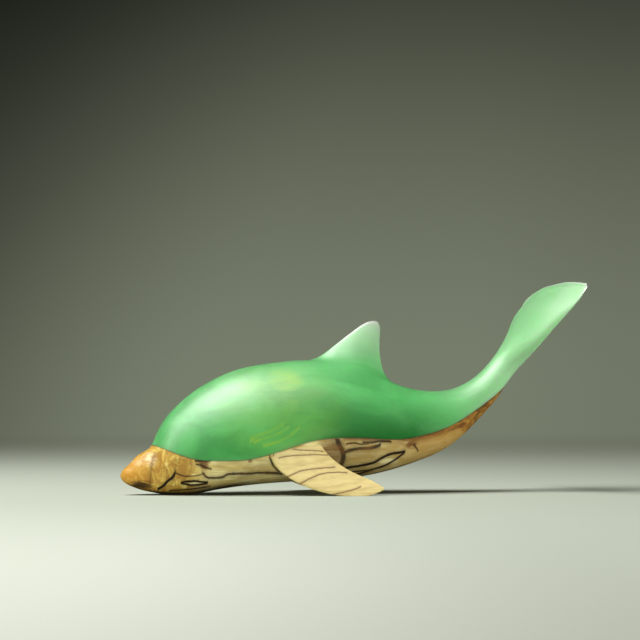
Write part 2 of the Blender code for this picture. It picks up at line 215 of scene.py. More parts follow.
# The lights: place, height over the origin that it aims at, width, height, and the collection that it
# lights alone.
LIGHTS = {
    "top": ((-0.48, 0, 1.05), 0.05, 0.8, 0.8, None),
    "left": ((-1.4, -0.1, 0.8), 0.04, 0.6, 0.6, "figure"),
    "fill": ((-0.6, -1.3, 0.25), 0.04, 1, 1, "figure"),
    "sheen": ((-0.35, -0.6, 0.95), 0.05, 1, 0.8, "figure"),
    "edge": ((1.2, -0.35, 0.05), 0.06, 0.6, 0.6, "figure"),
    "floor": ((-0.48, 0, 1.05), 0.05, 0.8, 0.8, "ground"),
}
WARM, WHITE = (1, 1, 0.96), (1, 1, 1)
FLOOR_REACH, FLOOR_DROP = 6.0, 5e-5


def number(unit):
    """A maker of number properties in one unit."""
    def made(name, description, value):
        return FloatProperty(name=name, description=description, default=value, unit=unit)
    return made


metres, radians, watts = number("LENGTH"), number("ROTATION"), number("POWER")


def colour(name, description, value):
    return FloatVectorProperty(name=name, description=description, default=value, subtype="COLOR",
                               min=0.0, max=1.0)


class DolphinSizes(bpy.types.PropertyGroup):
    """Sizes that a maker would choose."""

    body_length: metres("Body length", "Tip of the beak to the notch between the flukes, level", 0.2435)
    body_width: metres("Body width", "Widest place of the body", 0.060)
    fluke_span: metres("Fluke span", "From tip to tip of the flukes", 0.100)
    fluke_reach: metres("Fluke reach", "How far the lobes reach past the notch", 0.0032)
    fluke_droop: metres("Fluke droop", "How far the tips bend towards the belly side", 0.0045)
    fluke_roll: radians("Fluke roll", "Turn of the flukes about the stalk, left lobe up", math.radians(2.4))
    fin_rise: metres("Fin rise", "Dorsal fin above the line of the back", 0.0258)
    fin_spread: metres("Fin spread", "The fin's sides fall away from its edge over this distance", 0.0032)
    fin_edge: metres("Fin edge", "Radius of the fin's edge", 0.0009)
    groove_depth: metres("Groove depth", "Soft groove behind the beak", 0.0017)
    cheek_swell: metres("Cheek swell", "Round cheek after the groove", 0.0016)
    flipper_length: metres("Flipper length", "Root to tip, in the blade's plane", 0.052)
    flipper_thickness: metres("Flipper thickness", "Thickest place of the blade", 0.0046)
    flipper_sink: metres("Flipper sink", "How far inwards a blade's root is looked for", 0.014)
    right_set_back: metres(
        "Right flipper set back", "The right flipper sits this much nearer the tail", 0.010)
    joint_gap: metres("Joint gap", "Hairline between resin and wood", 0.00004)
    sanded_off: metres("Sanded off", "Taken off the flipper edges, so that they stand flat", 0.0004)


class DolphinColours(bpy.types.PropertyGroup):
    """Colours of the resin and of the wood, as linear values."""

    resin: colour("Resin", "Body of the cast resin", (0.115, 0.56, 0.15))
    # Deep resin: the darkest green of the cloudy patches, and painted shade on the lower rear of the body.
    resin_deep_and_shade: colour("Deep resin", "Where the casting is thickest and darkest", (0.008, 0.16, 0.018))
    # Thin resin: partly its lighter tint, partly painted light shining through the fin, the stalk and the
    # flukes. It also tints pale cloudy patches and wisps.
    resin_thin_and_light: colour("Thin resin", "The fin, the tail stalk and the flukes", (0.31, 0.69, 0.31))
    # This pale colour is painted light: light through thin rims, light on shaded undersides, and highlights
    # on the fin and the outer lobes.
    resin_painted_light: colour("Resin edge", "Thinnest edges, nearly clear", (0.73, 0.87, 0.69))
    resin_glow: colour("Resin glow", "Yellow wisps in the casting", (0.35, 0.62, 0.06))
    straw: colour("Straw wood", "Plain wood of the belly", (0.68, 0.51, 0.15))
    straw_light: colour("Light wood", "Palest streaks of the belly", (0.92, 0.82, 0.42))
    tan: colour("Tan wood", "Darker growth in the belly", (0.34, 0.20, 0.045))
    ochre: colour("Ochre wood", "Yellow burl of the cheeks", (0.76, 0.54, 0.10))
    amber: colour("Amber wood", "Brown streaks of the burl", (0.46, 0.23, 0.035))
    orange: colour("Orange wood", "Tip of the beak", (0.66, 0.30, 0.025))
    # Pale pink flecks, also used as a painted highlight on top of the beak.
    rosy_flecks_and_highlight: colour("Rosy wood", "Pale pink flecks on the beak", (0.95, 0.75, 0.45))
    bark: colour("Bark", "Inner bark along the rear of the seam", (0.17, 0.060, 0.012))
    spalt: colour("Spalting", "Dark lines left by the fungus", (0.022, 0.010, 0.006))
    pale_wood: colour("Pale wood", "Wood of the flippers", (0.77, 0.62, 0.26))
    pale_grain: colour("Pale grain", "Grain of the flippers", (0.52, 0.37, 0.13))


class DolphinStudio(bpy.types.PropertyGroup):
    """The floor, the lights and the camera."""

    camera_turn: radians(
        "Camera turn", "The camera stands this far towards the beak from square on", math.radians(14.5))
    camera_distance: metres("Camera distance", "Level distance to the figure", 1.2)
    camera_height: metres("Camera height", "Above the floor", 0.052)
    aim_along: metres("Aim along", "Where the camera looks, along the figure", -0.0139)
    aim_height: metres("Aim height", "Where the camera looks, above the floor", 0.0945)
    focal_pixels: FloatProperty(
        name="Focal length in pixels", description="Focal length as pixels of the photograph",
        default=2190.0)
    top_power: watts("Top power", "Power of the large soft box overhead", 12.9)
    left_power: watts("Left power", "Power of the light on the left, for the figure alone", 4.0)
    fill_power: watts("Fill power", "Power of the soft fill in front, which lights the figure alone", 13.6)
    sheen_power: watts(
        "Sheen power", "Power of the wide panel that only shines on the figure's polish", 8.0)
    edge_power: watts("Edge power", "Power of the low light on the right, for the figure alone", 17.0)
    floor_power: watts("Floor power", "Power of the overhead box that lights the floor alone", 16.3)
    floor: colour("Floor", "Colour of the floor", (0.35, 0.378, 0.323))
    # Painted light: a brighter floor near the camera, strongest on the left.
    floor_painted_light: colour("Near floor", "The floor near the camera on the left", (0.675, 0.697, 0.627))
    backdrop: colour("Backdrop", "Colour behind the figure", (0.185, 0.207, 0.148))
    ambient: colour("Ambient", "Dim even light from all sides", (0.015, 0.016, 0.014))


def spline(points, at):
    """A natural cubic spline through (place, value) points, read at the places in at."""
    x, y = np.array(points, float).T
    gap = np.diff(x)
    slope = np.diff(y) / gap
    system = np.eye(len(x))
    inner = np.arange(1, len(x) - 1)
    system[inner, inner - 1] = gap[:-1]
    system[inner, inner] = 2 * (gap[:-1] + gap[1:])
    system[inner, inner + 1] = gap[1:]
    right = np.zeros(len(x))
    right[1:-1] = 6 * np.diff(slope)
    bend = np.linalg.solve(system, right)
    i = np.clip(np.searchsorted(x, at) - 1, 0, len(gap) - 1)
    u = at - x[i]
    first = slope[i] - gap[i] * (2 * bend[i] + bend[i + 1]) / 6
    return y[i] + u * (first + u * (bend[i] / 2 + u * (bend[i + 1] - bend[i]) / (6 * gap[i])))


def length_of(vectors):
    return np.linalg.norm(vectors, axis=-1)


def bell(at, centre, reach):
    """A bell curve, exp(-((at - centre) / reach)^2)."""
    return np.exp(-(((at - centre) / reach) ** 2))


def ramp(ring, start, rings):
    """0 up to the ring number start, then rising evenly to 1 over so many rings, as a column."""
    return np.clip((ring - start) / rings, 0, 1)[:, None]


def evened(points, count):
    """Each row's points moved to lie evenly along it. A row's number is added to its running share of the
    way, so that one interpolation serves all rows."""
    row = 2 * np.arange(len(points))[:, None]
    run = np.pad(np.cumsum(length_of(np.diff(points, axis=1)), axis=1), ((0, 0), (1, 0)))
    share = run / np.maximum(run[:, -1:], LEAST_RUN) + row
    wanted = np.linspace(0, 1, count)[None, :] + row
    columns = [np.interp(wanted.ravel(), share.ravel(), points[..., k].ravel()) for k in range(3)]
    return np.stack(columns, -1).reshape(len(points), count, 3)


def mirrored(right):
    """A ring from its right half, which ends in the middle plane: left side first, then the right."""
    return np.concatenate([right * (1, -1, 1), right[:, -2::-1]], axis=1)


def fullness(share):
    """Half width of a section a share of the way up it, over its largest: an ellipse, a little fuller."""
    return np.clip(4 * share * (1 - share), 0, 1) ** (ROUNDNESS / 2)


class Form:
    """The dolphin's body, as a surface over two numbers: a ring number, counted in listed sections from
    the beak's tip, and an angle round the ring, from -90 degrees at the belly to 90 at the back."""

    def __init__(self, size):
        self.size = size
        self.unit = size.body_length / 1000
        spans = np.where(np.arange(LAST + 1) < FLUKE_FROM, size.body_width, size.fluke_span)
        halves = np.array([share for _, _, share in SECTIONS]) * spans / 2
        listed = np.array([(*top, *low) for top, low, _ in SECTIONS], float).T * self.unit
        self.columns = [*listed, halves]
        middles = (listed[0:2] + listed[2:4]) / 2
        steps = np.hypot(*np.diff(middles)) + np.abs(np.diff(halves)) / 4
        self.places = np.concatenate([[0], np.cumsum(steps)])
        far = self.skin(np.linspace(0, LAST, 400), np.linspace(-math.pi / 2, math.pi / 2, 60)[None, :])
        self.middle = (far[..., 0].min() + far[..., 0].max()) / 2

    def sections(self, ring):
        """Back point, belly point and half width of each ring: cubic splines through the listed ones."""
        at = np.interp(ring, range(LAST + 1), self.places)
        read = [spline(list(zip(self.places, column)), at) for column in self.columns]
        return np.stack(read[0:2], -1), np.stack(read[2:4], -1), np.maximum(read[4], 0)

    def depth(self, ring):
        top, low, _ = self.sections(ring)
        return np.maximum(length_of(top - low), TINY)

    def way_up(self, ring, points):
        """How far up each point lies between belly and back, as a share of its ring's depth."""
        top, low, _ = self.sections(ring)
        way = (top - low)[:, None]
        return ((points[..., ::2] - low[:, None]) * way).sum(-1) / (self.depth(ring) ** 2)[:, None]

    def seam_height(self, x):
        return spline(SEAM, x / self.unit) * self.unit

    def seam_share(self, ring):
        """Where the seam crosses each ring, as a share of the way from belly to back, by halving."""
        top, low, _ = self.sections(ring)
        under, over = np.full(len(ring), -0.8), np.full(len(ring), 1.8)
        for _ in range(HALVINGS):
            share = (under + over) / 2
            x, z = (low + share[:, None] * (top - low)).T
            above = z > self.seam_height(x)
            over = np.where(above, share, over)
            under = np.where(above, under, share)
        return share

    def seam_angle(self, ring, gap):
        return np.arcsin(2 * np.clip(self.seam_share(ring) + gap / self.depth(ring), 0, 1) - 1)

    def fin_height(self, top):
        """Rise of the fin over points of the back, which the outline gives as shares."""
        along = top[:, 0] / self.unit
        inside = (along > FIN_OUTLINE[0][0]) & (along < FIN_OUTLINE[-1][0])
        return self.size.fin_rise * np.clip(np.where(inside, spline(FIN_OUTLINE, along), 0.0), 0, None)

    def face(self, ring, share):
        """Two bell curves along the head, a groove inwards and a cheek outwards, strongest half way up."""
        groove = self.size.groove_depth * bell(ring[:, None], *GROOVE_BEHIND_BEAK)
        cheek = self.size.cheek_swell * bell(ring[:, None], *CHEEK)
        return (cheek - groove) * bell(share, *FACE_MIDDLE)

    def skin(self, ring, angle):
        """The right side. The point lies a share (1 + sin angle) / 2 of the way from the belly point to
        the back point, and half width times fullness out from the middle plane. The fin lifts what is
        near that plane by its rise times exp(-distance / spread), and leans it back."""
        top, low, half = self.sections(ring)
        share = (np.sin(angle) + 1) / 2
        flat = low[:, None] + share[..., None] * (top - low)[:, None]
        y = (half[:, None] + self.face(ring, share)) * fullness(share)
        edge = self.size.fin_edge
        lift = np.exp(-(np.hypot(y, edge) - edge) / self.size.fin_spread)
        lift = lift * self.fin_height(top)[:, None] * (share > 0.5)
        points = np.stack([flat[..., 0] + FIN_LEAN * lift, y, flat[..., 1] + lift], -1)
        return self.swept(ring, points, top, low)

    def swept(self, ring, points, top, low):
        """Draws the lobes past the notch by reach times 1 - exp(-(out / spread)^2), and bends their tips
        towards the belly side by droop times out^1.7."""
        up = (top - low) / np.maximum(length_of(top - low), TINY)[:, None]
        back = np.stack([up[:, 1], -up[:, 0]], -1)
        out = np.abs(points[..., 1]) / (self.size.fluke_span / 2)
        reach = self.size.fluke_reach * (1 - bell(out, 0, LOBE_SPREAD)) * ramp(ring, *REACH_RINGS) ** 2
        drop = -self.size.fluke_droop * out**1.7 * ramp(ring, *DROOP_RINGS)
        moved = points.copy()
        for axis, place in ((0, 0), (2, 1)):
            moved[..., axis] += reach * back[:, None, place] + drop * up[:, None, place]
        return moved

    def rolled(self, ring, points):
        """Turns the flukes about the tail stalk, more and more along their length."""
        turn = math.sin(self.size.fluke_roll) * ramp(ring, *ROLL_RINGS)
        moved = points.copy()
        moved[..., 2] -= points[..., 1] * turn
        return moved

    def spaced(self, start, end, count):
        """Ring numbers spaced evenly along the outline of the back, fin and flukes."""
        ring = np.linspace(start, end, SPACING_STEPS)
        top, low, half = self.sections(ring)
        rise = self.fin_height(top)
        outline = np.stack([top[:, 0] + FIN_LEAN * rise, top[:, 1] + rise], -1)
        steps = length_of(np.diff(outline, axis=0)) + length_of(np.diff((top + low) / 2, axis=0))
        steps = (steps + np.abs(np.diff(half))) * np.where(ring[1:] > FLUKE_FROM + 1, FINER_AT_FLUKES, 1)
        run = np.concatenate([[0], np.cumsum(steps)])
        return np.interp(np.linspace(0, run[-1], count), run, ring)

    def outside(self, points, gap):
        """Whether points beside the flippers, where the sections stand upright, clear the body by gap."""
        ring = np.linspace(UPRIGHT_FROM, UPRIGHT_TO, 400)
        top, low, half = self.sections(ring)
        columns = (low[:, 1], (top - low)[:, 1], half)
        bottom, height, widest = (np.interp(points[..., 0], top[:, 0], v) for v in columns)
        share = np.clip((points[..., 2] - bottom) / height, 0, 1)
        return np.abs(points[..., 1]) > widest * fullness(share) + gap

    def finished(self, points):
        """Moves the figure over the origin and sands off what reaches under the floor."""
        points = points - (self.middle, 0, 0)
        points[..., 2] = np.maximum(points[..., 2], 0)
        return points


def with_joint(outer):
    """The outer points of a ring, then the points straight across the joint, back to the first."""
    across = np.linspace(0, 1, ACROSS + 2)[None, 1:-1, None]
    return np.concatenate([outer, outer[:, -1:] + (outer[:, :1] - outer[:, -1:]) * across], axis=1)


def resin_surface(form):
    """Rings of the resin from the seam on the left, over the back, to the seam on the right."""
    gap = form.size.joint_gap
    trial = np.linspace(0, LAST, TRIAL_RINGS)
    clear = (1 - form.seam_share(trial)) * form.depth(trial) > 2 * gap
    ring = form.spaced(trial[np.argmax(clear)], LAST, RESIN_RINGS)
    half = form.sections(ring)[2]
    seam = form.seam_angle(ring, gap / 2)
    foot = np.arccos(np.clip(3 * form.size.fin_spread / np.maximum(half, TINY), 0, 0.7))
    foot = np.maximum(foot, seam + 0.6 * (math.pi / 2 - seam))
    widest = np.maximum(0, seam + 0.3 * (foot - seam))
    stops = [seam, widest, foot, np.full(len(ring), math.pi / 2)]
    turn = np.linspace(0, 1, 120)[None, :]
    parts = []
    for start, end, count in zip(stops, stops[1:], RESIN_POINTS):
        part = evened(form.skin(ring, start[:, None] + (end - start)[:, None] * turn), count + 1)
        parts.append(part if end is stops[-1] else part[:, :-1])
    rings = with_joint(form.rolled(ring, mirrored(np.concatenate(parts, axis=1))))
    return form.finished(rings), paleness_and_painted_light(form, ring, rings)


def paleness_and_painted_light(form, ring, rings):
    """How pale the resin is at the points of its rings: thin on the fin, the stalk and the flukes, partly
    the lighter tint of thin resin and partly painted light shining through it, and edge, which is painted
    light: light through their thin rims, light on their shaded undersides, and painted highlights on the
    fin's top and front and on the outer lobes."""
    top, _, half = form.sections(ring)
    over = np.clip((rings[..., 2] - top[:, None, 1]) / form.size.fin_rise, 0, 1)
    over = over * (form.fin_height(top) > 0)[:, None]
    side = np.abs(rings[..., 1])
    on_stalk = ramp(ring, *PALE_STALK_RINGS) * 0.85
    on_flukes = ramp(ring, *PALE_FLUKE_RINGS)
    across = np.sqrt(np.clip(1 - (side / np.maximum(half, TINY)[:, None]) ** 2, 0, 1))
    thickness = form.depth(ring)[:, None] * across
    fin_front_highlight = np.clip((FIN_FRONT_HIGHLIGHT[0] - rings[..., 0] / form.unit) / FIN_FRONT_HIGHLIGHT[1], 0, 1)
    # Painted light, each: light through the fin's thin rim, painted light on the fin's thin upper part that
    # is a little stronger at its front as a painted highlight, painted light on the shaded underside of the
    # stalk and flukes, a painted highlight on the outer lobes, and light through the flukes' thin rims.
    paler = [
        0.8 * np.exp(-side / FIN_RIM) * np.clip(over * 3 - 0.6, 0, 1),
        over**1.2 * (0.85 + 0.1 * fin_front_highlight),
        np.clip(1.6 - form.way_up(ring, rings) * 2, 0, 0.4) * ramp(ring, *PAINTED_LIGHT_UNDERSIDE_RINGS),
        np.clip(side / form.size.fluke_span * 3 - 0.6, 0, 0.32) * on_flukes,
        0.7 * np.exp(-thickness / FLUKE_RIM) * on_flukes,
    ]
    # The thin fin top, stalk and flukes: partly the lighter tint of thin resin, partly painted light
    # shining through it.
    thin = np.maximum(over**0.9, np.maximum(on_stalk, on_flukes))
    return {"thin": thin, "edge": np.maximum.reduce(paler)}


def wood_surface(form):
    """Rings of the wood from the seam on the left, under the belly, to the seam on the right. Its values
    are the depth of each point below the seam and its share of the way up."""
    gap = form.size.joint_gap
    trial = np.linspace(0, LAST, TRIAL_RINGS)
    surely = form.sections(trial)[0][:, 0] < WOOD_SURELY_TO * form.unit
    there = (form.seam_share(trial) * form.depth(trial) > 2 * gap) | surely
    ring = form.spaced(0, trial[np.argmin(there)], WOOD_RINGS)
    seam = form.seam_angle(ring, -gap / 2)
    turn = np.linspace(0, 1, 160)[None, :]
    right = evened(form.skin(ring, seam[:, None] + (-math.pi / 2 - seam)[:, None] * turn), WOOD_POINTS)
    rings = with_joint(form.rolled(ring, mirrored(right)))
    below = form.seam_height(rings[..., 0]) - rings[..., 2]
    return form.finished(rings), {"below_seam": below, "up": form.way_up(ring, rings)}


def bezier(points, t):
    """The cubic Bezier curve of four points, at the shares in t."""
    a, b, c, d = (np.array(p) for p in points)
    t = t[..., None]
    return a * (1 - t) ** 3 + 3 * b * t * (1 - t) ** 2 + 3 * c * t**2 * (1 - t) + d * t**3


class Blade:
    """A flipper, as a surface over t, 0 on the root's line, 1 at the tip and below 0 inside the body, and
    a turn round its section. Its section is an ellipse between two Bezier edges that thins towards the
    tip, and it is splayed out just so far that its edge reaches the floor."""

    def __init__(self, form, side):
        self.form, size = form, form.size
        x, share, z = FLIPPER_ROOT
        set_back = size.right_set_back if side > 0 else 0.0
        self.root = np.array([x * form.unit + set_back, side * share * size.body_width / 2, z * form.unit])
        self.along = np.array([math.cos(ROOT_SLOPE), 0, math.sin(ROOT_SLOPE)])
        down = np.array([math.sin(ROOT_SLOPE), 0, -math.cos(ROOT_SLOPE)])
        edge = self.edges(np.linspace(0.2, 1, 100))[0]
        reach = (self.root[2] + size.sanded_off + edge[:, 0] * self.along[2]) / (edge[:, 1] * -down[2])
        splay = math.acos(min(reach.min(), 1.0))
        self.out = down * math.cos(splay) + np.array([0, side * math.sin(splay), 0])
        self.normal = np.cross(self.along, self.out) * -side

    def edges(self, t):
        """The leading and the trailing edge in the blade's plane, (along, out)."""
        length = self.form.size.flipper_length
        return [bezier(edge, np.clip(t, 0, 1)) * length for edge in (LEADING_EDGE, TRAILING_EDGE)]

    def surface(self, t, turn):
        size = self.form.size
        lead, trail = self.edges(t)
        t, inside = np.clip(t, 0, 1), np.minimum(t, 0)[..., None] * size.flipper_sink
        tip = np.sqrt(1 - (np.clip(t - TIP_FROM, 0, 1) / (1 - TIP_FROM)) ** 2)
        flat = (lead + trail) / 2 + (lead - trail) * (np.cos(turn) / 2 * tip)[..., None]
        thick = size.flipper_thickness / 2 * np.sin(turn) * (1 - 0.65 * t) * np.sqrt(1 - t**3)
        spread = flat[..., :1] * self.along + (flat[..., 1:] + inside) * self.out
        return self.root + spread + thick[..., None] * self.normal


def flipper_surface(form, side):
    """Rings of a flipper, from the line along the middle of its root to the tip. The root's place at each
    point round it is found by halving, where the blade leaves the body."""
    blade = Blade(form, side)
    turn = np.linspace(0, 2 * math.pi, FLIPPER_POINTS, endpoint=False)
    under, over = np.full(FLIPPER_POINTS, -1.0), np.full(FLIPPER_POINTS, 0.6)
    for _ in range(HALVINGS):
        root = (under + over) / 2
        clear = form.outside(blade.surface(root, turn), form.size.joint_gap)
        over = np.where(clear, root, over)
        under = np.where(clear, under, root)
    step = np.sin(np.linspace(0, math.pi / 2, FLIPPER_RINGS))[:, None]
    rings = blade.surface(root + (1 - root) * step, turn + 0 * step)
    opposite = rings[0][-np.arange(FLIPPER_POINTS)]
    return form.finished(np.concatenate([(rings[:1] + opposite) / 2, rings])), {}


def closed_mesh(name, rings, values, look, capped=True):
    """A closed mesh object through rings of points, with values stored at its points. Ends that aren't a
    line or a point are capped."""
    count, around = rings.shape[:2]
    here = np.arange(count - 1)[:, None] * around + np.arange(around)[None, :]
    beside = np.arange(count - 1)[:, None] * around + (np.arange(around)[None, :] + 1) % around
    quads = np.stack([here, beside, beside + around, here + around], -1).reshape(-1, 4)
    caps = [list(range(around))[::-1], list(range((count - 1) * around, count * around))] if capped else []
    mesh = bpy.data.meshes.new(name)
    mesh.from_pydata(rings.reshape(-1, 3), [], quads.tolist() + caps)
    for label, value in values.items():
        stored = mesh.attributes.new(label, "FLOAT", "POINT")
        stored.data.foreach_set("value", value.astype(np.float32).ravel())
    work = bmesh.new()
    work.from_mesh(mesh)
    bmesh.ops.remove_doubles(work, verts=work.verts, dist=SAME_PLACE)
    bmesh.ops.dissolve_degenerate(work, edges=work.edges, dist=SAME_PLACE / 2)
    bmesh.ops.triangulate(work, faces=[face for face in work.faces if len(face.verts) > 4])
    bmesh.ops.recalc_face_normals(work, faces=work.faces)
    work.to_mesh(mesh)
    work.free()
    mesh.materials.append(look)
    mesh.shade_smooth()
    mesh.set_sharp_from_angle(angle=SHARP_ANGLE)
    made = bpy.data.objects.new(name, mesh)
    collection("figure").objects.link(made)
    return made


class Value:
    """A socket that carries a value. Arithmetic on it adds Math nodes to its material."""

    def __init__(self, bench, socket):
        self.bench, self.socket = bench, socket

    def math(self, operation, *others):
        inputs = dict(enumerate((self, *others)))
        return self.bench.add("Math", {"operation": operation}, inputs)

    def __add__(self, other):
        return self.math("ADD", other)

    def __sub__(self, other):
        return self.math("SUBTRACT", other)

    def __rsub__(self, other):
        return self.bench.add("Math", {"operation": "SUBTRACT"}, {0: other, 1: self})

    def __mul__(self, other):
        return self.math("MULTIPLY", other)

    def __truediv__(self, other):
        return self.math("DIVIDE", other)

    def __pow__(self, other):
        return self.math("POWER", other)

    def __abs__(self):
        return self.math("ABSOLUTE")

    __radd__, __rmul__ = __add__, __mul__

    def rising(self, low, high):
        """0 below low, 1 above high, and a smooth step between."""
        settings = {"interpolation_type": "SMOOTHSTEP"}
        return self.bench.add("MapRange", settings, {"Value": self, "From Min": low, "From Max": high})

    def falling(self, low, high):
        return 1 - self.rising(low, high)

    def or_more(self, other):
        return self.math("MAXIMUM", other)


class Bench:
    """The node tree of one material or world. Every node comes from add."""

    def __init__(self, owner, kept):
        owner.use_nodes = True
        self.tree = owner.node_tree
        self.shader = self.tree.nodes[kept]

    def add(self, kind, settings=None, inputs=None, output=0):
        """A node with its settings, then the values or links of its sockets. Returns one output."""
        made = self.tree.nodes.new("ShaderNode" + kind)
        for key, value in (settings or {}).items():
            if key == "course":
                self.set_course(made, value)
            else:
                setattr(made, key, value)
        for key, value in (inputs or {}).items():
            self.feed(made.inputs[key], value)
        return Value(self, made.outputs[output])

    def feed(self, socket, value):
        if isinstance(value, Value):
            self.tree.links.new(value.socket, socket)
        else:
            socket.default_value = value

    def set_course(self, made, points):
        """A curve through points whose places run from 0 to 1."""
        course = made.mapping.curves[0].points
        while len(course) < len(points):
            course.new(0.5, 0.5)
        for spot, place in zip(course, points):
            spot.location = place
        made.mapping.update()

    def place(self):
        return self.add("TexCoord", output="Object")

    def split(self, vector):
        node = self.add("SeparateXYZ", None, {0: vector}).socket.node
        return [Value(self, socket) for socket in node.outputs]

    def joined(self, x, y, z):
        return self.add("CombineXYZ", None, {0: x, 1: y, 2: z})

    def noise(self, vector, scale, detail=3.0, roughness=0.55, distortion=0.0):
        inputs = {"Vector": vector, "Scale": scale, "Detail": detail, "Roughness": roughness,
                  "Distortion": distortion}
        return self.add("TexNoise", None, inputs)

    def mix(self, factor, first, second):
        """Colours mixed. A property's colour has three numbers, and a socket's four."""
        inputs = {0: factor, 6: self.painted(first), 7: self.painted(second)}
        return self.add("Mix", {"data_type": "RGBA"}, inputs, output=2)

    @staticmethod
    def painted(value):
        return value if isinstance(value, Value) else (*value, 1.0)

    def stored(self, name):
        return self.add("Attribute", {"attribute_name": name}, output="Fac")

    def bump(self, height, strength, distance):
        inputs = {"Height": height, "Strength": strength, "Distance": distance}
        return self.add("Bump", None, inputs)

    def trace(self, along, height, line):
        """Darkness of a line that runs through (along, height) points: a curve node gives its height at
        each place along, and what lies within its half width of that is dark. The distance is measured
        across the line, so its slope is taken from a second reading a little further on."""
        half, points = line
        ahead = 0.02
        first, last = points[0][0], points[-1][0]
        low, high = min(p[1] for p in points), max(p[1] for p in points)
        course = [((p[0] - first) / (last - first), (p[1] - low) / (high - low)) for p in points]
        share = (along - first) / (last - first)
        middle, further = (
            self.add("FloatCurve", {"course": course}, {"Value": at}) * (high - low) + low
            for at in (share, share + ahead))
        slope = (further - middle) / (ahead * (last - first))
        across = abs(height - middle) / (slope * slope + 1) ** 0.5
        ends = share.rising(-0.01, 0.03) * share.falling(0.97, 1.01)
        core, skirt = across.falling(half * 0.45, half * 1.35), across.falling(half, half * 3.5)
        return (core * 0.75 + skirt * 0.25) * ends

    def traces(self, along, height, lines):
        """The darkness of the lines together."""
        return functools.reduce(Value.or_more, [self.trace(along, height, line) for line in lines])


def material(name):
    made = bpy.data.materials.new(name)
    return made, Bench(made, "Principled BSDF")


def set_constants(bench, **values):
    for key, value in values.items():
        bench.feed(bench.shader.inputs[key.replace("_", " ")], value)


def blob(here, centre, radii, strength):
    """A soft spot, as strong as given at its centre and 0 past its radii."""
    (u, v), (cu, cv), (ru, rv) = here, centre, radii
    across, up = (u - cu) / ru, (v - cv) / rv
    return (across * across + up * up).falling(0.0, 1.0) * strength


def blobs(here, spots):
    """Several soft spots together, the strongest at each place."""
    return functools.reduce(Value.or_more, [blob(here, *spot) for spot in spots])


def green_resin(form, colours):
    """Cloudy cast resin: light wanders inside it, it pales where it is thin, partly as painted light
    shining through, and faint yellow and pale wisps hang in it. Painted shade darkens its lower rear, and
    painted light and highlights pale its rims, undersides, fin and outer lobes."""
    made, m = material("green_resin")
    place = m.place()
    x, y, z = m.split(place)
    along = (x + form.middle) / form.unit
    height = z / form.unit
    wander = m.noise(place, 22.0, 3.0) - 0.5
    cloud = m.noise(m.joined(x * 0.5, y, z + wander * 0.02), 38.0, 4.0, 0.6, 0.8)
    wisp = m.noise(m.joined(x * 0.6, y, z * 2.2 + wander * 0.03), 60.0, 5.0, 0.62, 1.4)
    # Painted shade: the lower rear of the body, which faces down away from the lights, is darkened towards
    # deep resin.
    low_rear_shade = along.rising(320, 480) * height.falling(120, 230) * along.falling(640, 820)
    shade = m.mix(low_rear_shade * 0.9, colours.resin, colours.resin_deep_and_shade)
    shade = m.mix(cloud.rising(0.40, 0.68) * 0.4, shade, colours.resin_deep_and_shade)
    shade = m.mix(cloud.falling(0.30, 0.50) * 0.2, shade, colours.resin_thin_and_light)
    glow = blobs((along, height), YELLOW_GLOWS) * (wisp.rising(0.25, 0.6) * 0.6 + 0.25)
    ripple = wander * 30
    for line in WISPS:
        strand = m.trace(along + ripple, height + ripple + cloud * 14 - 7, line)
        glow = glow.or_more(strand * (wisp.rising(0.35, 0.55) * 0.4 + 0.4))
    shade = m.mix(glow, shade, colours.resin_glow)
    # The fin, the stalk and the flukes pale towards thin resin: partly their lighter tint, partly painted
    # light shining through them.
    shade = m.mix(m.stored("thin").rising(0.0, 1.0) * 0.85, shade, colours.resin_thin_and_light)
    shade = m.mix(wisp.rising(0.60, 0.8) * 0.15, shade, colours.resin_thin_and_light)
    # Painted light and painted highlights: thin rims, shaded undersides, the fin's top and front, the outer
    # lobes.
    shade = m.mix(m.stored("edge") * 0.8, shade, colours.resin_painted_light)
    set_constants(m, Base_Color=shade, Roughness=0.48 + cloud * 0.08, IOR=1.55, Subsurface_Weight=0.85,
                  Subsurface_Radius=(0.35, 1.0, 0.40), Subsurface_Scale=0.008, Coat_Weight=1.0,
                  Coat_Roughness=0.46, Coat_IOR=1.9)
    m.feed(m.shader.inputs["Normal"], m.bump(m.noise(place, 420.0, 3.0), 0.06, 0.0004))
    return made


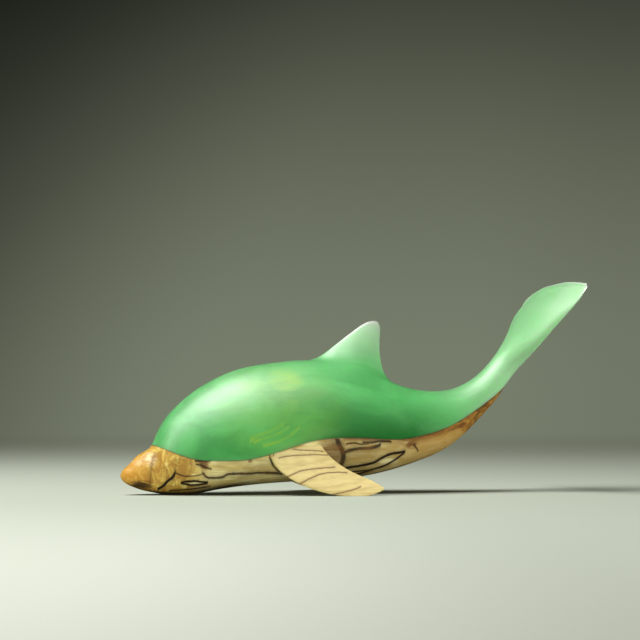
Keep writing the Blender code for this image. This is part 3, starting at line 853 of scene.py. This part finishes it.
def spalted_wood(form, colours):
    """Straw wood with fungus lines, an amber burl at the beak and cheeks, and bark along the rear seam.
    Painted shade darkens the groove behind the beak and, in part, the underside, and a painted highlight
    pales the top of the beak.
    """
    made, m = material("spalted_wood")
    place = m.place()
    x, y, z = m.split(place)
    wander = m.noise(place, 60.0, 2.0) - 0.5
    quiver = m.noise(place, 420.0, 2.0) - 0.5
    # The lines are sheets that run through the wood, so they come out further on at the right side.
    through = y.rising(-0.006, 0.022)
    along = (x + form.middle) / form.unit + wander * 5 + quiver * 2 + through * 14
    height = z / form.unit + quiver * 3 - wander * 4 + through * 5
    here = (along, height)

    flow = m.joined(x * 0.35, y * 1.6, z * 1.6 + wander * 0.006)
    grain = m.noise(flow, 190.0, 5.0, 0.6, 0.6)
    fine = m.noise(m.joined(x * 0.16, y, z + wander * 0.004), 1100.0, 3.0)
    broad = m.noise(m.joined(x * 0.5, y, z * 1.5), 55.0, 3.0, 0.5, 1.0)
    spread = m.noise(place, 130.0, 3.0)
    shade = m.mix(grain.rising(0.3, 0.72), colours.straw_light, colours.straw)
    shade = m.mix(broad.rising(0.45, 0.7) * 0.5, shade, colours.tan)
    shade = m.mix(along.rising(400, 500) * (0.30 + grain * 0.4), shade, colours.tan)
    shade = m.mix(fine.rising(0.5, 0.78) * 0.35, shade, colours.amber)

    burl = along.falling(130, 196)
    swirl = m.noise(m.joined(x, y, z + wander * 0.02), 90.0, 4.0, 0.6, 3.2)
    fleck = m.noise(m.joined(x, y, z * 1.4), 240.0, 3.0, 0.6, 1.0)
    fresh = m.mix(swirl.rising(0.35, 0.65), colours.ochre, colours.amber)
    fresh = m.mix(swirl.falling(0.30, 0.44) * 0.55, fresh, colours.straw_light)
    fresh = m.mix(fleck.rising(0.55, 0.72) * 0.45, fresh, colours.bark)
    warm = along.falling(20, 85) * (0.5 + swirl * 0.5)
    fresh = m.mix(warm, fresh, colours.orange)
    # Pale pink flecks on top of the beak, partly wood and partly a painted highlight.
    fresh = m.mix(blobs(here, ROSY_FLECKS_AND_HIGHLIGHT) * fleck.falling(0.45, 0.68) * 0.8, fresh, colours.rosy_flecks_and_highlight)
    shade = m.mix(burl, shade, fresh)
    rays = m.noise(m.joined(x * 0.3, y, z * 2.5 + wander * 0.01), 420.0, 2.0)
    shade = m.mix(blob(here, *CHEEK_SHADE) * rays.rising(0.5, 0.7), shade, colours.bark)

    below = m.stored("below_seam") / form.unit
    rear = along.rising(560, 700)
    stain = (below.falling(2, 30) * 0.4 + 0.5) * rear
    shade = m.mix(stain, shade, colours.amber)
    rust = below.falling(0, 22) * along.rising(570, 640) * 0.85
    shade = m.mix(rust * grain.rising(0.25, 0.55), shade, colours.bark)
    bark = (below + wander * 14 - along.rising(750, 800) * 34).falling(11, 17) * along.rising(712, 745)
    rind = m.mix(grain.rising(0.35, 0.6), colours.bark, colours.amber)
    rind = m.mix(spread.falling(0.38, 0.5) * 0.6, rind, colours.spalt)
    shade = m.mix(bark * 0.95, shade, rind)

    patch = (along - 148 + (height - 76) * 0.6).rising(0, 10) * along.falling(172, 182)
    patch = patch * height.rising(52, 62) * spread.rising(0.3, 0.42)
    smudge = blob(here, *REAR_SMUDGE) * spread.rising(0.42, 0.52)
    under = below.falling(3, 10) * along.rising(468, 480) * along.falling(570, 600) * 0.8
    shaded = blob(here, *FLIPPER_SHADE) * (0.4 + grain * 0.8)
    # Painted shade in the groove behind the beak joins the dark marks and patches here.
    groove = m.trace(height, along, GROOVE_SHADE_LINE) * 0.55
    marks_and_shade = functools.reduce(Value.or_more, [patch, smudge, under, blob(here, *SEAM_SPOT), shaded, groove])
    shade = m.mix(marks_and_shade * 0.85, shade, colours.bark)

    shade = m.mix(blobs(here, PALE_LOOPS), shade, colours.straw_light)
    brown = m.traces(along, height, BROWN_LINES).or_more(m.trace(height, along, UPRIGHT_BAND))
    shade = m.mix(brown * 0.9, shade, m.mix(spread.rising(0.45, 0.75), colours.spalt, colours.bark))
    up = m.stored("up")
    dark = [
        m.traces(along, height, DARK_LINES),
        below.falling(0.5, 3.0) * (0.30 + grain * 0.5),
        # Darker along the belly's underside at the head and at the rear: partly dark wood, partly painted
        # shade where it faces the floor.
        up.falling(0.02, 0.06) * along.rising(45, 80) * along.falling(230, 320) * 0.9,
        up.falling(0.0, 0.04) * along.rising(550, 620) * along.falling(690, 740) * 0.6,
        blob(here, *BEAK_STREAKS) * rays.rising(0.34, 0.48),
    ]
    shade = m.mix(functools.reduce(Value.or_more, dark), shade, colours.spalt)
    set_constants(m, Base_Color=shade, Roughness=0.46 + grain * 0.12, IOR=1.5, Coat_Weight=0.10,
                  Coat_Roughness=0.30, Subsurface_Weight=0.08, Subsurface_Radius=(1.0, 0.5, 0.2),
                  Subsurface_Scale=0.001)
    m.feed(m.shader.inputs["Normal"], m.bump(fine * 0.6 + grain * 0.4, 0.10, 0.0003))
    return made


def pale_wood(form, colours):
    """Cream wood of the flippers, with fine grain along the blade and thin curved brown lines."""
    made, m = material("pale_wood")
    place = m.place()
    x, y, z = m.split(place)
    wander = m.noise(place, 70.0, 2.0) - 0.5
    quiver = m.noise(place, 500.0, 2.0) - 0.5
    set_back = y.rising(-0.001, 0.001) * (form.size.right_set_back / form.unit)
    along = (x + form.middle) / form.unit - set_back + wander * 4
    height = z / form.unit + quiver * 2 + wander * 3
    grain = m.noise(m.joined(x * 0.3, y * 1.4, z * 1.8 + wander * 0.004), 240.0, 4.0, 0.6, 0.5)
    fine = m.noise(m.joined(x * 0.16, y, z), 1200.0, 3.0)
    shade = m.mix(grain.rising(0.35, 0.8) * 0.7, colours.pale_wood, colours.pale_grain)
    shade = m.mix(fine.rising(0.55, 0.8) * 0.2, shade, colours.amber)
    dark = m.traces(along, height, FLIPPER_TRACES)
    shade = m.mix(dark * 0.85, shade, colours.bark)
    set_constants(m, Base_Color=shade, Roughness=0.50 + grain * 0.1, IOR=1.5, Subsurface_Weight=0.10,
                  Subsurface_Radius=(1.0, 0.5, 0.2), Subsurface_Scale=0.0015)
    m.feed(m.shader.inputs["Normal"], m.bump(fine * 0.6 + grain * 0.4, 0.08, 0.0003))
    return made


class DOLPHIN_OT_resin_back(bpy.types.Operator):
    """Models the resin back with its fin, tail stalk and flukes."""

    bl_idname = "dolphin.resin_back"
    bl_label = "Resin back"

    def execute(self, context):
        form = Form(context.scene.dolphin_sizes)
        look = green_resin(form, context.scene.dolphin_colours)
        piece = closed_mesh("resin_casting", *resin_surface(form), look)
        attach(piece, BODY)
        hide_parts("resin_back")
        return {"FINISHED"}


class DOLPHIN_OT_wood_belly(bpy.types.Operator):
    """Models the wooden belly with the beak and the cheeks."""

    bl_idname = "dolphin.wood_belly"
    bl_label = "Wooden belly"

    def execute(self, context):
        form = Form(context.scene.dolphin_sizes)
        look = spalted_wood(form, context.scene.dolphin_colours)
        piece = closed_mesh("carved_belly", *wood_surface(form), look)
        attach(piece, BODY)
        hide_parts("wood_belly")
        return {"FINISHED"}


class DOLPHIN_OT_flippers(bpy.types.Operator):
    """Models both flippers."""

    bl_idname = "dolphin.flippers"
    bl_label = "Flippers"

    def execute(self, context):
        form = Form(context.scene.dolphin_sizes)
        look = pale_wood(form, context.scene.dolphin_colours)
        for name, node, side in (("left_blade", "left_flipper", -1), ("right_blade", "right_flipper", 1)):
            piece = closed_mesh(name, *flipper_surface(form, side), look, capped=False)
            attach(piece, BODY)
            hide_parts(node)
        return {"FINISHED"}


def add_camera(studio):
    """A camera level with the figure, turned a little towards its beak."""
    data = bpy.data.cameras.new("camera")
    data.sensor_width = 36.0
    data.lens = data.sensor_width * studio.focal_pixels / PHOTO_SIDE
    camera = bpy.data.objects.new("camera", data)
    bpy.context.scene.collection.objects.link(camera)
    aim = Vector((studio.aim_along, 0, studio.aim_height))
    turn = studio.camera_turn
    away = Vector((-math.sin(turn), -math.cos(turn), 0)) * studio.camera_distance
    camera.location = aim + away
    camera.location.z = studio.camera_height
    camera.rotation_euler = (aim - camera.location).to_track_quat("-Z", "Y").to_euler()
    bpy.context.scene.camera = camera


def add_light(name, power, place, aim_height, width, height, lit_alone):
    """A soft rectangular light, turned towards a point over the origin."""
    data = bpy.data.lights.new(name, "AREA")
    data.shape, data.size, data.size_y = "RECTANGLE", width, height
    data.energy, data.color = power, WARM
    light = bpy.data.objects.new(name, data)
    light.location = place
    light.rotation_euler = (Vector((0, 0, aim_height)) - Vector(place)).to_track_quat("-Z", "Y").to_euler()
    bpy.context.scene.collection.objects.link(light)
    if lit_alone:
        light.light_linking.receiver_collection = collection(lit_alone)
    return light


def collection(name):
    """A collection of the scene, made when it isn't there yet."""
    made = bpy.data.collections.get(name)
    if made is None:
        made = bpy.data.collections.new(name)
        bpy.context.scene.collection.children.link(made)
    return made


def add_floor(studio):
    """A wide pale floor that melts into the backdrop behind the figure, with a painted pool of light near
    the camera on the left.
    """
    mesh = bpy.data.meshes.new("floor")
    signs = ((-1, -1), (1, -1), (1, 1), (-1, 1))
    corners = [(x * FLOOR_REACH, y * FLOOR_REACH, -FLOOR_DROP) for x, y in signs]
    mesh.from_pydata(corners, [], [(0, 1, 2, 3)])
    floor = bpy.data.objects.new("floor", mesh)
    collection("ground").objects.link(floor)
    made, m = material("floor")
    x, y, _ = m.split(m.place())
    turn = studio.camera_turn
    behind = x * math.sin(turn) + y * math.cos(turn)
    right = x * math.cos(turn) - y * math.sin(turn)
    # Painted light: the floor is painted brighter towards the camera, most on the left.
    near = behind.falling(-0.9, -0.05) * (right.falling(-0.1, 0.08) * 0.7 + 0.3)
    set_constants(m, Base_Color=m.mix(near, studio.floor, studio.floor_painted_light), Roughness=0.9,
                  Specular_IOR_Level=0.0, Alpha=behind.falling(-0.4, 2.1))
    floor.visible_glossy = False
    mesh.materials.append(made)


def set_world(studio):
    """A plain backdrop, darker upwards and to the left, that only the camera sees. The rest is lit with
    an even dim colour."""
    world = bpy.data.worlds.new("studio")
    bpy.context.scene.world = world
    m = Bench(world, "Background")
    x, y, z = m.split(m.add("TexCoord", output="Generated"))
    turn = studio.camera_turn
    right = x * math.cos(turn) - y * math.sin(turn)
    light = z.falling(0.0, 0.28) * ((right - z * 0.5).rising(-0.25, -0.05) * 0.75 + 0.25)
    light = light * (1 - right.rising(0.06, 0.15) * 0.1)
    seen = m.mix(light, (0.0, 0.0, 0.0), studio.backdrop)
    by_camera = m.add("LightPath", output="Is Camera Ray")
    m.feed(m.shader.inputs["Color"], m.mix(by_camera, studio.ambient, seen))


class DOLPHIN_OT_studio(bpy.types.Operator):
    """Sets up the floor, the backdrop, the lights and the camera."""

    bl_idname = "dolphin.studio"
    bl_label = "Studio"

    def execute(self, context):
        studio = context.scene.dolphin_studio
        add_camera(studio)
        add_floor(studio)
        set_world(studio)
        lights = {name: add_light(name + "_light", getattr(studio, name + "_power"), *where)
                  for name, where in LIGHTS.items()}
        lights["sheen"].data.color = WHITE
        lights["sheen"].visible_diffuse = False
        lights["fill"].visible_glossy = lights["edge"].visible_glossy = False
        context.scene.view_settings.view_transform = "Standard"
        return {"FINISHED"}


class DOLPHIN_PT_panel(bpy.types.Panel):
    """Lists the operators with the sizes and colours."""

    bl_label = "Dolphin"
    bl_idname = "DOLPHIN_PT_panel"
    bl_space_type = "VIEW_3D"
    bl_region_type = "UI"
    bl_category = "Dolphin"

    def draw(self, context):
        for group in GROUPS:
            values = getattr(context.scene, group)
            for name in values.__annotations__:
                self.layout.prop(values, name)
        for operator in STEPS:
            self.layout.operator(operator.bl_idname)


GROUPS = {"dolphin_sizes": DolphinSizes, "dolphin_colours": DolphinColours, "dolphin_studio": DolphinStudio}
STEPS = [DOLPHIN_OT_studio, DOLPHIN_OT_resin_back, DOLPHIN_OT_wood_belly, DOLPHIN_OT_flippers]


def register():
    for made in (*GROUPS.values(), *STEPS, DOLPHIN_PT_panel):
        bpy.utils.register_class(made)
    for name, group in GROUPS.items():
        setattr(bpy.types.Scene, name, PointerProperty(type=group))


def unregister():
    for name in GROUPS:
        delattr(bpy.types.Scene, name)
    for made in (DOLPHIN_PT_panel, *reversed(STEPS), *reversed(list(GROUPS.values()))):
        bpy.utils.unregister_class(made)


def main():
    register()
    bpy.ops.dolphin.studio()
    bpy.ops.dolphin.resin_back()
    bpy.ops.dolphin.wood_belly()
    bpy.ops.dolphin.flippers()


if __name__ == "__main__":
    main()
